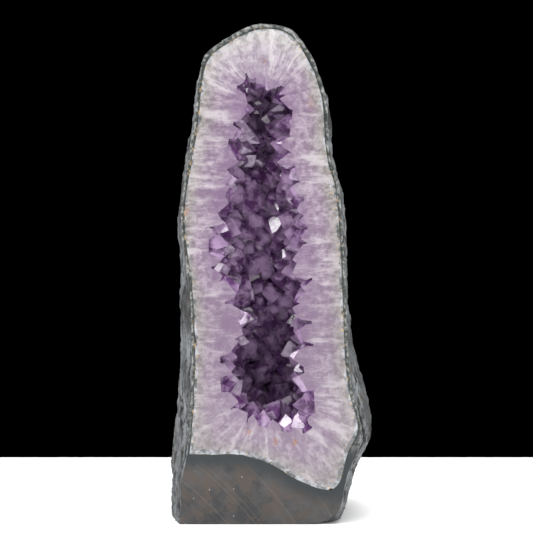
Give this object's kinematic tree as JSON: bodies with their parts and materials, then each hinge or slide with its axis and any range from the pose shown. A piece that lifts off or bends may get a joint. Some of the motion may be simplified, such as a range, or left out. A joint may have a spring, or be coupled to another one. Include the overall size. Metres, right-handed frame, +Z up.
{
  "type": "amethyst geode",
  "caption": "Tall cathedral geode, sawn flat in front and underneath: a basalt shell lined with milky quartz and purple amethyst crystals.",
  "frame": {"origin": "middle of the sawn base, at the height it stands on", "axes": "+Z up, +X to the right of someone looking at the sawn face, +Y towards the back, so the sawn face looks along -Y"},
  "size_m": [0.1557, 0.128, 0.3801],
  "materials": {
    "basalt": "matte",
    "milky_quartz": "gloss",
    "amethyst": "gloss"
  },
  "bodies": {
    "root": {"basalt_shell": "basalt", "quartz_band": "milky_quartz", "amethyst_druse": "amethyst"}
  },
  "joints": []
}
